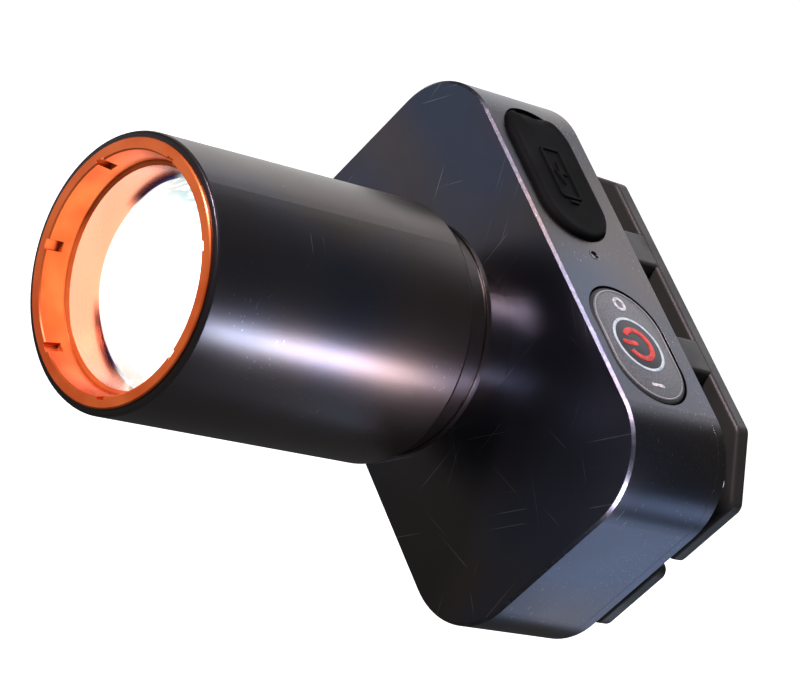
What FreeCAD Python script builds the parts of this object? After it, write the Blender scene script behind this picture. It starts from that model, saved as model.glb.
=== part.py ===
"""Cap lamp with a sliding focus barrel, a tilting bracket, a press button and a flap over its charging port.

Millimetres. The origin is the centre of the bracket's flat rear face, which lies towards the head.
+Y points at the head, so the beam leaves along -Y. +Z is up and carries the button and the port.
"""
import FreeCAD, Part
import math
import os

V = FreeCAD.Vector
X_AXIS = V(1, 0, 0)
Y_AXIS = V(0, 1, 0)
Z_AXIS = V(0, 0, 1)
FORWARD = V(0, -1, 0)

# Bracket: a moulded plate with a strap loop at each end
PLATE_THICKNESS = 2.0
PLATE_HALF_X = 27.8
PLATE_HALF_Z = 18.4
PLATE_CHAMFER_X = 7.8
PLATE_CHAMFER_Z = 5.8
PLATE_EDGE_RADIUS = 0.5
PLATE_CORNER_RADIUS = 1.6
STRAP_SLOT_WIDTH = 4.6
STRAP_SLOT_HALF_HEIGHT = 13.0
STRAP_BAR_WIDTH = 3.3
STRAP_SLOT_CORNER = 1.2
STRAP_SLIT = 1.8
SLIT_INNER_RADIUS = 0.7
SLIT_OUTER_RADIUS = 1.2
REST_LUG_INNER_X = 5.9
REST_LUG_WIDTH = 5.5
REST_LUG_HEIGHT = 4.3
REST_PAD_THICKNESS = 0.8
REST_PAD_INSET = 0.4
REST_GAP = 0.12
JOIN = 0.2

# Housing: a shallow rounded box, open at the back and closed by a cover plate
HOUSING_LENGTH = 66.0
HOUSING_WIDTH = 38.9
HOUSING_DEPTH = 17.0
HOUSING_CORNER = 10.3
HOUSING_GAP = 9.0
COVER_THICKNESS = 1.8
EDGE_CHAMFER = 0.35
FRONT_WALL = 2.2
SIDE_WALL = 1.8
CONTROL_WALL = 2.6
LAMP_Z = 2.4
SCREW_RADIUS = 1.0
SCREW_LENGTH = 7.0
SCREW_HEAD_RADIUS = 2.0
SCREW_HEAD_HEIGHT = 1.0
DRIVE_HALF_LENGTH = 1.2
DRIVE_HALF_WIDTH = 0.2
DRIVE_DEPTH = 0.5
GASKET_BAND = 1.0
GASKET_THICKNESS = 1.2
FREE_PLAY = 0.05

# Control face: button, port and charge light share one centre line
CONTROL_DEPTH = 7.8
BUTTON_X = 13.2
BUTTON_HALF_LENGTH = 9.0
BUTTON_HALF_WIDTH = 6.4
BUTTON_CLEARANCE = 0.2
BUTTON_TRAVEL = 0.5
BUTTON_RIM_RADIUS = 0.35
BUTTON_EAR_THICKNESS = 0.6
BUTTON_EAR_REACH = 1.0
BUTTON_EAR_HALF_WIDTH = 3.0
BUTTON_WINDOW_RADIUS = 4.3
BUTTON_WINDOW_THICKNESS = 1.0
PLUNGER_RADIUS = 1.0
PLUNGER_LENGTH = 2.1
SWITCH_SIZE = (6.0, 3.4)
PORT_X = -13.9
PORT_RECESS_HALF_LENGTH = 10.9
PORT_RECESS_HALF_WIDTH = 5.7
PORT_RECESS_DEPTH = 1.0
PORT_COVER_CLEARANCE = 0.25
PORT_COVER_RISE = 0.75
PORT_COVER_RIM_RADIUS = 0.5
PORT_COVER_FLOOR_GAP = 0.15
PORT_PLUG_DEPTH = 0.9
PULL_RADIUS = 1.6
PULL_DEPTH = 0.45
PORT_HOLE_HALF_LENGTH = 5.0
PORT_HOLE_HALF_WIDTH = 2.15
TETHER_RADIUS = 0.8
TETHER_INSET = 1.8
LIGHT_X = -0.8
LIGHT_RADIUS = 0.55
LIGHT_PIPE_DROP = 0.2
LIGHT_PIPE_LENGTH = 3.7

# Turned parts on the lamp's axis; distances run forward from the housing's front face
NECK_RADIUS = 10.2
NECK_LENGTH = 7.9
COLLAR_RADIUS = 14.6
COLLAR_FLANGE = 1.0
STEM_FRONT = 34.5
TAIL_RADIUS = 8.0
TAIL_LENGTH = 6.2
WIRE_BORE = 2.5
BARREL_RADIUS = 16.2
BARREL_REAR = 12.7
BARREL_FRONT = 52.8
BARREL_MOUTH_RADIUS = 14.9
GUIDE_LENGTH = 13.3
GUIDE_CLEARANCE = 0.05
CLIP_RADIUS = 15.05
CLIP_BORE_RADIUS = 15.2
LENS_SEAT = 42.3
LENS_SEAT_RADIUS = 12.9
LENS_SEAT_THICKNESS = 2.0
LENS_SEAL_THICKNESS = 0.7
LENS_EDGE_RADIUS = 14.3
LENS_EDGE_THICKNESS = 2.0
LENS_DOME_RADIUS = 12.6
LENS_DOME_HEIGHT = 6.0
RING_LIP_RISE = 0.30
RING_LIP_EASE = 0.15
RING_LIP_RADIUS = 13.9
RING_FLANGE_RADIUS = 15.35
RING_LEDGE_RADIUS = 13.2
RING_LEDGE_DEPTH = 3.0
RING_THROAT_RADIUS = 12.8
RING_NOTCHES = 7
RING_NOTCH_START = 166.0
RING_NOTCH_HALF_WIDTH = 0.6
RING_NOTCH_DEPTH = 0.4
RING_NOTCH_LENGTH = 2.0

# Tilt hinge under the housing's lower rear edge
PIN_RADIUS = 1.25
PIN_CLEARANCE = 0.05
PIN_HEAD = 0.7
PIN_Y = -6.5
PIN_Z = -14.6
KNUCKLE_RADIUS = 2.8
EAR_INNER_X = 10.0
EAR_WIDTH = 3.5
WASHER_THICKNESS = 0.3
WASHER_GAP = 0.05
LAMP_KNUCKLE_WIDTH = 3.8

# Inner parts
BOARD_THICKNESS = 1.0
BOARD_POST_RADIUS = 1.8
BOARD_SCREW_RADIUS = 0.8
BOARD_HALF_LENGTH = 23.2
SOCKET_WIDTH = 8.94
SOCKET_HEIGHT = 3.26
SOCKET_LENGTH = 7.35
BATTERY_SIZE = (46.0, 4.3, 29.5)
BATTERY_TOP = 13.2
TAB_THICKNESS = 0.3
SCREW_BOSS_X = 26.0
SCREW_BOSS_Z = 11.8
SCREW_BOSS_RADIUS = 2.6
LED_SCREW_X = 7.6
LED_BOARD_THICKNESS = 1.6
WIRE_X = 1.3
WIRE_RADIUS = 0.6

# Places worked out from the sizes above
Y_PLATE_FRONT = -PLATE_THICKNESS
Y_BACK = Y_PLATE_FRONT - HOUSING_GAP
Y_COVER_INNER = Y_BACK - COVER_THICKNESS
Y_FACE = Y_BACK - HOUSING_DEPTH
Y_CAVITY = Y_FACE + FRONT_WALL
Y_CONTROL = Y_FACE + CONTROL_DEPTH
HALF_L = HOUSING_LENGTH / 2
HALF_W = HOUSING_WIDTH / 2
Z_TOP = LAMP_Z + HALF_W
Z_TOP_INNER = Z_TOP - CONTROL_WALL
Z_UNDER_WALL = Z_TOP_INNER - FREE_PLAY
Z_BUTTON_POCKET = Z_UNDER_WALL - BUTTON_EAR_THICKNESS - BUTTON_TRAVEL - 0.25
Z_RECESS = Z_TOP - PORT_RECESS_DEPTH
Y_BOARD_FRONT = Y_CONTROL + SOCKET_HEIGHT / 2
Y_BOARD_BACK = Y_BOARD_FRONT + BOARD_THICKNESS
Z_BOARD_TOP = Z_TOP - 4.45
Z_BOARD_BOTTOM = LAMP_Z - 4.0
X_TETHER = PORT_X + PORT_RECESS_HALF_LENGTH - TETHER_INSET
RING_REAR = LENS_SEAT + LENS_SEAL_THICKNESS + LENS_EDGE_THICKNESS


def box(x0, x1, y0, y1, z0, z1):
    """Box between two corners."""
    return Part.makeBox(x1 - x0, y1 - y0, z1 - z0, V(x0, y0, z0))


def rod(radius, length, start, direction):
    return Part.makeCylinder(radius, length, start, direction)


def tube(outer, inner, length, start, direction):
    return rod(outer, length, start, direction).cut(rod(inner, length, start, direction))


def rounded_slab(half_x, half_z, radius, y0, y1, centre_z=LAMP_Z):
    """Prism along Y whose outline is a rectangle with round corners."""
    corners = [(1, 1), (-1, 1), (-1, -1), (1, -1)]
    edges = []
    ends = []
    for sx, sz in corners:
        cx = sx * (half_x - radius)
        cz = centre_z + sz * (half_z - radius)
        on_x = V(cx + sx * radius, y0, cz)
        on_z = V(cx, y0, cz + sz * radius)
        middle = V(cx + sx * radius * math.sqrt(0.5), y0, cz + sz * radius * math.sqrt(0.5))
        first, last = (on_x, on_z) if sx == sz else (on_z, on_x)
        edges.append(Part.Arc(first, middle, last).toShape())
        ends.append((first, last))
    sides = [Part.makeLine(ends[i][1], ends[(i + 1) % 4][0]) for i in range(4)]
    wire = Part.Wire([edge for pair in zip(edges, sides) for edge in pair])
    return Part.Face(wire).extrude(V(0, y1 - y0, 0))


def oval(centre_x, half_length, half_width, z0, z1, centre_y=Y_CONTROL):
    """Prism along Z whose outline has straight sides along X and round ends."""
    reach = half_length - half_width
    left, right = centre_x - reach, centre_x + reach
    top = Part.makeLine(V(right, centre_y + half_width, z0), V(left, centre_y + half_width, z0))
    left_end = Part.Arc(V(left, centre_y + half_width, z0), V(centre_x - half_length, centre_y, z0),
                        V(left, centre_y - half_width, z0)).toShape()
    bottom = Part.makeLine(V(left, centre_y - half_width, z0), V(right, centre_y - half_width, z0))
    right_end = Part.Arc(V(right, centre_y - half_width, z0), V(centre_x + half_length, centre_y, z0),
                         V(right, centre_y + half_width, z0)).toShape()
    return Part.Face(Part.Wire([top, left_end, bottom, right_end])).extrude(V(0, 0, z1 - z0))


def turned(profile):
    """Solid of revolution about the lamp's axis; the profile is (distance forward, radius) points."""
    points = [V(0, Y_FACE - forward, LAMP_Z + radius) for forward, radius in profile]
    face = Part.Face(Part.makePolygon(points + points[:1]))
    return face.revolve(V(0, 0, LAMP_Z), Y_AXIS, 360)


def on_axis(forward):
    return V(0, Y_FACE - forward, LAMP_Z)


def along_axis_edges(shape, forward):
    """Edges that lie wholly in one plane square to the lamp's axis."""
    plane = Y_FACE - forward
    return [e for e in shape.Edges
            if abs(e.BoundBox.YMin - plane) < 1e-4 and abs(e.BoundBox.YMax - plane) < 1e-4]


def mirrored(shape):
    return shape.mirror(V(0, 0, 0), X_AXIS)


# --- bracket -----------------------------------------------------------------------------------

def strap_plate():
    """Eight-sided plate with eased edges, a strap slot at each end and a slit through each end bar."""
    x, z = PLATE_HALF_X, PLATE_HALF_Z
    cx, cz = x - PLATE_CHAMFER_X, z - PLATE_CHAMFER_Z
    outline = [(cx, z), (-cx, z), (-x, cz), (-x, -cz), (-cx, -z), (cx, -z), (x, -cz), (x, cz)]
    points = [V(px, Y_PLATE_FRONT, pz) for px, pz in outline]
    plate = Part.Face(Part.makePolygon(points + points[:1])).extrude(V(0, PLATE_THICKNESS, 0))
    upright = [e for e in plate.Edges if abs(e.Vertexes[0].Y - e.Vertexes[-1].Y) > 1]
    plate = plate.makeFillet(PLATE_CORNER_RADIUS, upright)
    front = [e for e in plate.Edges if abs(e.BoundBox.YMax - Y_PLATE_FRONT) < 1e-4]
    plate = plate.makeFillet(PLATE_EDGE_RADIUS, front)
    slot_outer = PLATE_HALF_X - STRAP_BAR_WIDTH
    slot = box(slot_outer - STRAP_SLOT_WIDTH, slot_outer, -PLATE_THICKNESS, 0,
               -STRAP_SLOT_HALF_HEIGHT, STRAP_SLOT_HALF_HEIGHT)
    slot_corners = [e for e in slot.Edges if abs(e.Vertexes[0].Y - e.Vertexes[-1].Y) > 1]
    slot = slot.makeFillet(STRAP_SLOT_CORNER, slot_corners)
    slit = box(slot_outer - 0.5, PLATE_HALF_X + 1, -PLATE_THICKNESS, 0, -STRAP_SLIT / 2, STRAP_SLIT / 2)
    for cut in (slot, slit):
        plate = plate.cut(cut).cut(mirrored(cut))
    plate = plate.makeFillet(SLIT_INNER_RADIUS, slit_corners(plate, slot_outer))
    return plate.makeFillet(SLIT_OUTER_RADIUS, slit_corners(plate, PLATE_HALF_X))


def slit_corners(plate, at_x):
    """The upright edges where the slits open at this distance from the middle."""
    return [e for e in plate.Edges
            if e.BoundBox.YLength > PLATE_THICKNESS - PLATE_EDGE_RADIUS - 0.01
            and abs(abs(e.BoundBox.Center.z) - STRAP_SLIT / 2) < 0.01
            and abs(abs(e.BoundBox.Center.x) - at_x) < 0.01]


def hinge_ear():
    """One of the two ears that hold the hinge pin."""
    block = box(EAR_INNER_X, EAR_INNER_X + EAR_WIDTH, PIN_Y, Y_PLATE_FRONT + JOIN,
                PIN_Z - KNUCKLE_RADIUS, PIN_Z + KNUCKLE_RADIUS)
    eye = rod(KNUCKLE_RADIUS, EAR_WIDTH, V(EAR_INNER_X, PIN_Y, PIN_Z), X_AXIS)
    bore = rod(PIN_RADIUS, EAR_WIDTH, V(EAR_INNER_X, PIN_Y, PIN_Z), X_AXIS)
    return block.fuse(eye).cut(bore)


def rest_lug():
    """A stop that reaches forward from the plate's top edge to the housing's back."""
    front = Y_BACK + REST_GAP + REST_PAD_THICKNESS
    lug = box(REST_LUG_INNER_X, REST_LUG_INNER_X + REST_LUG_WIDTH, front, Y_PLATE_FRONT + JOIN,
              PLATE_HALF_Z - REST_LUG_HEIGHT, PLATE_HALF_Z)
    along = [e for e in lug.Edges if e.BoundBox.YLength > 5]
    return lug.makeFillet(0.5, along)


def bracket_plate():
    plate = strap_plate()
    for part in (hinge_ear(), rest_lug()):
        plate = plate.fuse(part).fuse(mirrored(part))
    return plate.removeSplitter()


def rest_pads():
    """Rubber pads on the lugs, so that the housing doesn't knock on them."""
    front = Y_BACK + REST_GAP
    pad = box(REST_LUG_INNER_X + REST_PAD_INSET, REST_LUG_INNER_X + REST_LUG_WIDTH - REST_PAD_INSET,
              front, front + REST_PAD_THICKNESS,
              PLATE_HALF_Z - REST_LUG_HEIGHT + REST_PAD_INSET, PLATE_HALF_Z - REST_PAD_INSET)
    return [pad, mirrored(pad)]


def hinge_pin():
    reach = EAR_INNER_X + EAR_WIDTH
    pin = rod(PIN_RADIUS, 2 * reach, V(-reach, PIN_Y, PIN_Z), X_AXIS)
    head = rod(PIN_RADIUS + PIN_HEAD, PIN_HEAD, V(reach, PIN_Y, PIN_Z), X_AXIS)
    return pin.fuse(head).removeSplitter()


def tilt_washers():
    """Friction washers between the ears and the lamp's knuckles."""
    start = EAR_INNER_X - WASHER_THICKNESS
    washer = tube(KNUCKLE_RADIUS, PIN_RADIUS, WASHER_THICKNESS, V(start, PIN_Y, PIN_Z), X_AXIS)
    return [washer, mirrored(washer)]


# --- housing -----------------------------------------------------------------------------------

def boss_places():
    return [(sx * SCREW_BOSS_X, LAMP_Z + sz * SCREW_BOSS_Z) for sx in (-1, 1) for sz in (-1, 1)]


def board_post_places():
    return [(-21.0, LAMP_Z + 5.0), (21.0, LAMP_Z + 5.0)]


def housing():
    """Aluminium shell, open at the back, with a shouldered recess for the port cover."""
    shell = rounded_slab(HALF_L, HALF_W, HOUSING_CORNER, Y_FACE, Y_COVER_INNER)
    shell = shell.makeChamfer(EDGE_CHAMFER, along_axis_edges(shell, 0))
    inner_half_z = (HOUSING_WIDTH - SIDE_WALL - CONTROL_WALL) / 2
    inner_z = LAMP_Z - (CONTROL_WALL - SIDE_WALL) / 2
    shell = shell.cut(rounded_slab(HALF_L - SIDE_WALL, inner_half_z, HOUSING_CORNER - SIDE_WALL,
                                   Y_CAVITY, Y_COVER_INNER, inner_z))
    for x, z in boss_places():
        shell = shell.fuse(rod(SCREW_BOSS_RADIUS, Y_COVER_INNER - Y_CAVITY, V(x, Y_CAVITY, z), Y_AXIS))
    for x, z in board_post_places():
        shell = shell.fuse(rod(BOARD_POST_RADIUS, Y_BOARD_FRONT - Y_CAVITY, V(x, Y_CAVITY, z), Y_AXIS))
    for x, z in boss_places():
        shell = shell.cut(rod(SCREW_RADIUS, SCREW_LENGTH, V(x, Y_COVER_INNER, z), FORWARD))
    for x, z in board_post_places():
        shell = shell.cut(rod(BOARD_SCREW_RADIUS, 4.0, V(x, Y_BOARD_FRONT, z), FORWARD))
    shell = shell.cut(rod(TAIL_RADIUS + GUIDE_CLEARANCE, FRONT_WALL, on_axis(0), Y_AXIS))
    shell = shell.cut(oval(BUTTON_X, BUTTON_HALF_LENGTH, BUTTON_HALF_WIDTH, Z_BUTTON_POCKET, Z_TOP))
    shell = shell.cut(oval(PORT_X, PORT_RECESS_HALF_LENGTH, PORT_RECESS_HALF_WIDTH, Z_RECESS, Z_TOP))
    shell = shell.cut(oval(PORT_X, PORT_HOLE_HALF_LENGTH, PORT_HOLE_HALF_WIDTH, Z_TOP_INNER - JOIN, Z_RECESS))
    shell = shell.cut(rod(TETHER_RADIUS, CONTROL_WALL, V(X_TETHER, Y_CONTROL, Z_TOP_INNER), Z_AXIS))
    shell = shell.cut(rod(LIGHT_RADIUS, CONTROL_WALL, V(LIGHT_X, Y_CONTROL, Z_TOP_INNER), Z_AXIS))
    return shell.removeSplitter()


def back_cover():
    """Plate that closes the housing and carries the lamp's two hinge knuckles."""
    cover = rounded_slab(HALF_L, HALF_W, HOUSING_CORNER, Y_COVER_INNER, Y_BACK)
    cover = cover.makeChamfer(EDGE_CHAMFER, along_axis_edges(cover, Y_FACE - Y_BACK))
    outer = EAR_INNER_X - WASHER_THICKNESS - WASHER_GAP
    knuckle = box(outer - LAMP_KNUCKLE_WIDTH, outer, Y_BACK - JOIN, PIN_Y,
                  PIN_Z - KNUCKLE_RADIUS, PIN_Z + KNUCKLE_RADIUS)
    knuckle = knuckle.fuse(rod(KNUCKLE_RADIUS, LAMP_KNUCKLE_WIDTH,
                               V(outer - LAMP_KNUCKLE_WIDTH, PIN_Y, PIN_Z), X_AXIS))
    knuckle = knuckle.cut(rod(PIN_RADIUS + PIN_CLEARANCE, 2 * outer, V(0, PIN_Y, PIN_Z), X_AXIS))
    cover = cover.fuse(knuckle).fuse(mirrored(knuckle))
    for x, z in boss_places():
        cover = cover.cut(rod(SCREW_RADIUS, COVER_THICKNESS, V(x, Y_COVER_INNER, z), Y_AXIS))
        cover = cover.cut(screw_head(x, z))
    return cover.removeSplitter()


def screw_head(x, z):
    seat = V(x, Y_BACK - SCREW_HEAD_HEIGHT, z)
    return Part.makeCone(SCREW_RADIUS, SCREW_HEAD_RADIUS, SCREW_HEAD_HEIGHT, seat, Y_AXIS)


def cover_screws():
    """Countersunk screws with a cross recess, which hold the back cover."""
    screws = []
    for x, z in boss_places():
        screw = screw_head(x, z).fuse(rod(SCREW_RADIUS, SCREW_LENGTH - SCREW_HEAD_HEIGHT,
                                          V(x, Y_BACK - SCREW_HEAD_HEIGHT, z), FORWARD))
        for half_x, half_z in ((DRIVE_HALF_LENGTH, DRIVE_HALF_WIDTH), (DRIVE_HALF_WIDTH, DRIVE_HALF_LENGTH)):
            screw = screw.cut(box(x - half_x, x + half_x, Y_BACK - DRIVE_DEPTH, Y_BACK,
                                  z - half_z, z + half_z))
        screws.append(screw.removeSplitter())
    return screws


def cover_gasket():
    """Flat rubber ring inside the wall, squeezed against the cover by the screws."""
    inner_half_z = (HOUSING_WIDTH - SIDE_WALL - CONTROL_WALL) / 2
    inner_z = LAMP_Z - (CONTROL_WALL - SIDE_WALL) / 2
    half_x = HALF_L - SIDE_WALL - FREE_PLAY
    half_z = inner_half_z - FREE_PLAY
    radius = HOUSING_CORNER - SIDE_WALL
    band = GASKET_BAND
    y0, y1 = Y_COVER_INNER - GASKET_THICKNESS, Y_COVER_INNER
    ring = rounded_slab(half_x, half_z, radius, y0, y1, inner_z)
    ring = ring.cut(rounded_slab(half_x - band, half_z - band, radius - band, y0, y1, inner_z))
    for x, z in boss_places():
        ring = ring.cut(rod(SCREW_BOSS_RADIUS + FREE_PLAY, GASKET_THICKNESS, V(x, y0, z), Y_AXIS))
    return ring.Solids


# --- control face ------------------------------------------------------------------------------

def button_pad():
    """Oval pad, flush with the face, with ears below the wall that keep it in."""
    half_length = BUTTON_HALF_LENGTH - BUTTON_CLEARANCE
    half_width = BUTTON_HALF_WIDTH - BUTTON_CLEARANCE
    z_low = Z_UNDER_WALL - BUTTON_EAR_THICKNESS
    body = oval(BUTTON_X, half_length, half_width, z_low, Z_TOP)
    rim = [e for e in body.Edges if abs(e.BoundBox.ZMin - Z_TOP) < 1e-4]
    body = body.makeFillet(BUTTON_RIM_RADIUS, rim)
    reach = half_length + BUTTON_EAR_REACH
    ears = box(BUTTON_X - reach, BUTTON_X + reach, Y_CONTROL - BUTTON_EAR_HALF_WIDTH,
               Y_CONTROL + BUTTON_EAR_HALF_WIDTH, z_low, Z_UNDER_WALL)
    return body.fuse(ears).cut(button_window()).removeSplitter()


def button_window():
    """Smoked clear disc set in the pad, over the printed sign."""
    z_low = Z_TOP - BUTTON_WINDOW_THICKNESS
    return rod(BUTTON_WINDOW_RADIUS, BUTTON_WINDOW_THICKNESS, V(BUTTON_X, Y_CONTROL, z_low), Z_AXIS)


def switch_plunger():
    top = Z_UNDER_WALL - BUTTON_EAR_THICKNESS
    return rod(PLUNGER_RADIUS, PLUNGER_LENGTH, V(BUTTON_X, Y_CONTROL, top - PLUNGER_LENGTH), Z_AXIS)


def tact_switch():
    """Side-push switch soldered to the board's upper edge; the plunger moves in its bore."""
    width, height = SWITCH_SIZE
    bore_depth = PLUNGER_LENGTH - 0.2
    top = Z_UNDER_WALL - BUTTON_EAR_THICKNESS - PLUNGER_LENGTH + bore_depth - BUTTON_TRAVEL - 0.5
    case = box(BUTTON_X - width / 2, BUTTON_X + width / 2, Y_CONTROL - 1.8, Y_BOARD_FRONT, top - height, top)
    bore = rod(PLUNGER_RADIUS + FREE_PLAY, bore_depth, V(BUTTON_X, Y_CONTROL, top - bore_depth), Z_AXIS)
    return case.cut(bore)


def port_cover():
    """Rubber lid with a raised rim, a pull tab at its far end and a plug that fills the port hole."""
    half_length = PORT_RECESS_HALF_LENGTH - PORT_COVER_CLEARANCE
    half_width = PORT_RECESS_HALF_WIDTH - PORT_COVER_CLEARANCE
    floor = Z_RECESS + PORT_COVER_FLOOR_GAP
    lid = oval(PORT_X, half_length, half_width, floor, Z_TOP + PORT_COVER_RISE)
    rim = [e for e in lid.Edges if abs(e.BoundBox.ZMin - Z_TOP - PORT_COVER_RISE) < 1e-4]
    lid = lid.makeFillet(PORT_COVER_RIM_RADIUS, rim)
    pull_floor = Z_TOP + PORT_COVER_RISE - PULL_DEPTH
    pull = rod(PULL_RADIUS, 1.0, V(PORT_X - half_length - 0.5, Y_CONTROL, pull_floor), Z_AXIS)
    plug = oval(PORT_X, PORT_HOLE_HALF_LENGTH - 0.7, PORT_HOLE_HALF_WIDTH - 0.85,
                floor - PORT_PLUG_DEPTH, floor)
    return lid.cut(pull).fuse(plug).removeSplitter()


def tether_anchor():
    """Barbed rubber stud that ties the port cover to the housing at the cover's hinge end."""
    neck = rod(TETHER_RADIUS, Z_RECESS - Z_TOP_INNER, V(X_TETHER, Y_CONTROL, Z_TOP_INNER), Z_AXIS)
    barb_height = 0.9
    barb = Part.makeCone(TETHER_RADIUS - 0.2, TETHER_RADIUS + 0.5, barb_height,
                         V(X_TETHER, Y_CONTROL, Z_TOP_INNER - barb_height), Z_AXIS)
    return neck.fuse(barb).removeSplitter()


def light_pipe():
    """Clear rod that brings the charge light to the face."""
    z_low = Z_TOP - LIGHT_PIPE_DROP - LIGHT_PIPE_LENGTH
    return rod(LIGHT_RADIUS, LIGHT_PIPE_LENGTH, V(LIGHT_X, Y_CONTROL, z_low), Z_AXIS)


# --- inside the housing ------------------------------------------------------------------------

def circuit_board():
    board = box(-BOARD_HALF_LENGTH, BOARD_HALF_LENGTH, Y_BOARD_FRONT, Y_BOARD_BACK,
                Z_BOARD_BOTTOM, Z_BOARD_TOP)
    for x, z in board_post_places():
        board = board.cut(rod(BOARD_SCREW_RADIUS, BOARD_THICKNESS, V(x, Y_BOARD_FRONT, z), Y_AXIS))
    return board


def board_screws():
    screws = []
    for x, z in board_post_places():
        shank = rod(BOARD_SCREW_RADIUS, 4.5, V(x, Y_BOARD_BACK, z), FORWARD)
        head = rod(1.5, TAB_THICKNESS, V(x, Y_BOARD_BACK, z), Y_AXIS)
        screws.append(shank.fuse(head).removeSplitter())
    return screws


def usb_socket():
    """Charging socket: an oval metal shell, open upwards, with a contact tongue."""
    top = Z_RECESS - PORT_PLUG_DEPTH - JOIN
    shell = oval(PORT_X, SOCKET_WIDTH / 2, SOCKET_HEIGHT / 2, top - SOCKET_LENGTH, top)
    hollow = oval(PORT_X, SOCKET_WIDTH / 2 - 0.3, SOCKET_HEIGHT / 2 - 0.3, top - SOCKET_LENGTH + 1.2, top)
    tongue = box(PORT_X - 3.3, PORT_X + 3.3, Y_CONTROL - 0.35, Y_CONTROL + 0.35,
                 top - SOCKET_LENGTH + 1.0, top - 0.8)
    return shell.cut(hollow).fuse(tongue).removeSplitter()


def charge_light():
    return box(LIGHT_X - 0.8, LIGHT_X + 0.8, Y_CONTROL - 0.7, Y_BOARD_FRONT, Z_TOP - 5.3, Z_TOP - 4.0)


def battery():
    """Flat pouch cell behind the board."""
    length, thickness, height = BATTERY_SIZE
    y0 = Y_BOARD_BACK + TAB_THICKNESS
    z1 = LAMP_Z + BATTERY_TOP
    cell = box(-length / 2, length / 2, y0, y0 + thickness, z1 - height, z1)
    return cell.makeFillet(1.0, [e for e in cell.Edges if e.BoundBox.ZLength > height - 1])


def battery_tabs():
    """Two metal tabs that tie the cell to the board's back."""
    z1 = LAMP_Z + BATTERY_TOP
    return [box(x - 1.5, x + 1.5, Y_BOARD_BACK, Y_BOARD_BACK + TAB_THICKNESS, z1 - 2.5, z1 + 1.2)
            for x in (-8.0, 8.0)]


# --- lamp stem ---------------------------------------------------------------------------------

SEAL_GROOVE = (8.5, 9.7, 0.9)
SLIDE_SEAL_AT = 20.1
CLIP_AT = 32.2


def stem():
    """One turned piece: threaded tail, neck, and the collar that the barrel slides on."""
    groove_r = COLLAR_RADIUS - 0.9
    clip_r = COLLAR_RADIUS - 0.7
    body = turned([
        (-TAIL_LENGTH, WIRE_BORE), (-TAIL_LENGTH, TAIL_RADIUS - 0.4), (-TAIL_LENGTH + 0.4, TAIL_RADIUS),
        (0, TAIL_RADIUS), (0, NECK_RADIUS), (NECK_LENGTH, NECK_RADIUS), (NECK_LENGTH, COLLAR_RADIUS - 0.3),
        (NECK_LENGTH + 0.3, COLLAR_RADIUS), (NECK_LENGTH + COLLAR_FLANGE, COLLAR_RADIUS),
        (NECK_LENGTH + COLLAR_FLANGE, COLLAR_RADIUS - 0.35),
        (NECK_LENGTH + COLLAR_FLANGE + 0.5, COLLAR_RADIUS - 0.35),
        (NECK_LENGTH + COLLAR_FLANGE + 0.5, COLLAR_RADIUS),
        (SLIDE_SEAL_AT - 0.6, COLLAR_RADIUS), (SLIDE_SEAL_AT - 0.6, groove_r),
        (SLIDE_SEAL_AT + 0.6, groove_r), (SLIDE_SEAL_AT + 0.6, COLLAR_RADIUS),
        (CLIP_AT, COLLAR_RADIUS), (CLIP_AT, clip_r), (CLIP_AT + 1.0, clip_r), (CLIP_AT + 1.0, COLLAR_RADIUS),
        (STEM_FRONT - 0.8, COLLAR_RADIUS), (STEM_FRONT - 0.8, 12.4), (STEM_FRONT, 12.4),
        (STEM_FRONT, WIRE_BORE)])
    inner, outer, depth = SEAL_GROOVE
    body = body.cut(tube(outer, inner, depth, on_axis(0), FORWARD))
    for sx in (-1, 1):
        body = body.cut(rod(SCREW_RADIUS, 3.2, V(sx * LED_SCREW_X, Y_FACE - STEM_FRONT, LAMP_Z), Y_AXIS))
    return body


def neck_seal():
    """O-ring in the neck's rear face, against the housing's front."""
    inner, outer, depth = SEAL_GROOVE
    return Part.makeTorus((inner + outer) / 2, depth / 2, on_axis(depth / 2), Y_AXIS)


def lock_nut():
    """Hexagon nut on the stem's tail, inside the front wall."""
    across_flats = 20.0
    corner = across_flats / math.sqrt(3)
    points = [V(corner * math.cos(math.radians(60 * k)), Y_CAVITY,
                LAMP_Z + corner * math.sin(math.radians(60 * k)))
              for k in range(7)]
    nut = Part.Face(Part.makePolygon(points)).extrude(V(0, 3.4, 0))
    return nut.cut(rod(TAIL_RADIUS, 3.4, V(0, Y_CAVITY, LAMP_Z), Y_AXIS))


def slide_seal():
    """O-ring that drags on the barrel's bore and holds the focus where it is left."""
    return Part.makeTorus(COLLAR_RADIUS - 0.45, 0.45, on_axis(SLIDE_SEAL_AT), Y_AXIS)


def stop_clip():
    """Open spring clip that keeps the barrel from sliding off the stem."""
    ring = tube(CLIP_RADIUS, COLLAR_RADIUS - 0.7, 0.9, on_axis(CLIP_AT + 0.05), FORWARD)
    gap = box(-2.5, 2.5, Y_FACE - CLIP_AT - 2, Y_FACE - CLIP_AT + 1, LAMP_Z - COLLAR_RADIUS - 2, LAMP_Z - 8)
    return ring.cut(gap)


def led_board():
    """Aluminium-cored disc under the light source, with two wire holes."""
    thick = LED_BOARD_THICKNESS
    board = rod(10.0, thick, on_axis(STEM_FRONT), FORWARD)
    for sx in (-1, 1):
        board = board.cut(rod(SCREW_RADIUS, thick, V(sx * LED_SCREW_X, Y_FACE - STEM_FRONT, LAMP_Z), FORWARD))
        board = board.cut(rod(0.7, thick, V(sx * WIRE_X, Y_FACE - STEM_FRONT, LAMP_Z - 3.8), FORWARD))
    return board


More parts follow.
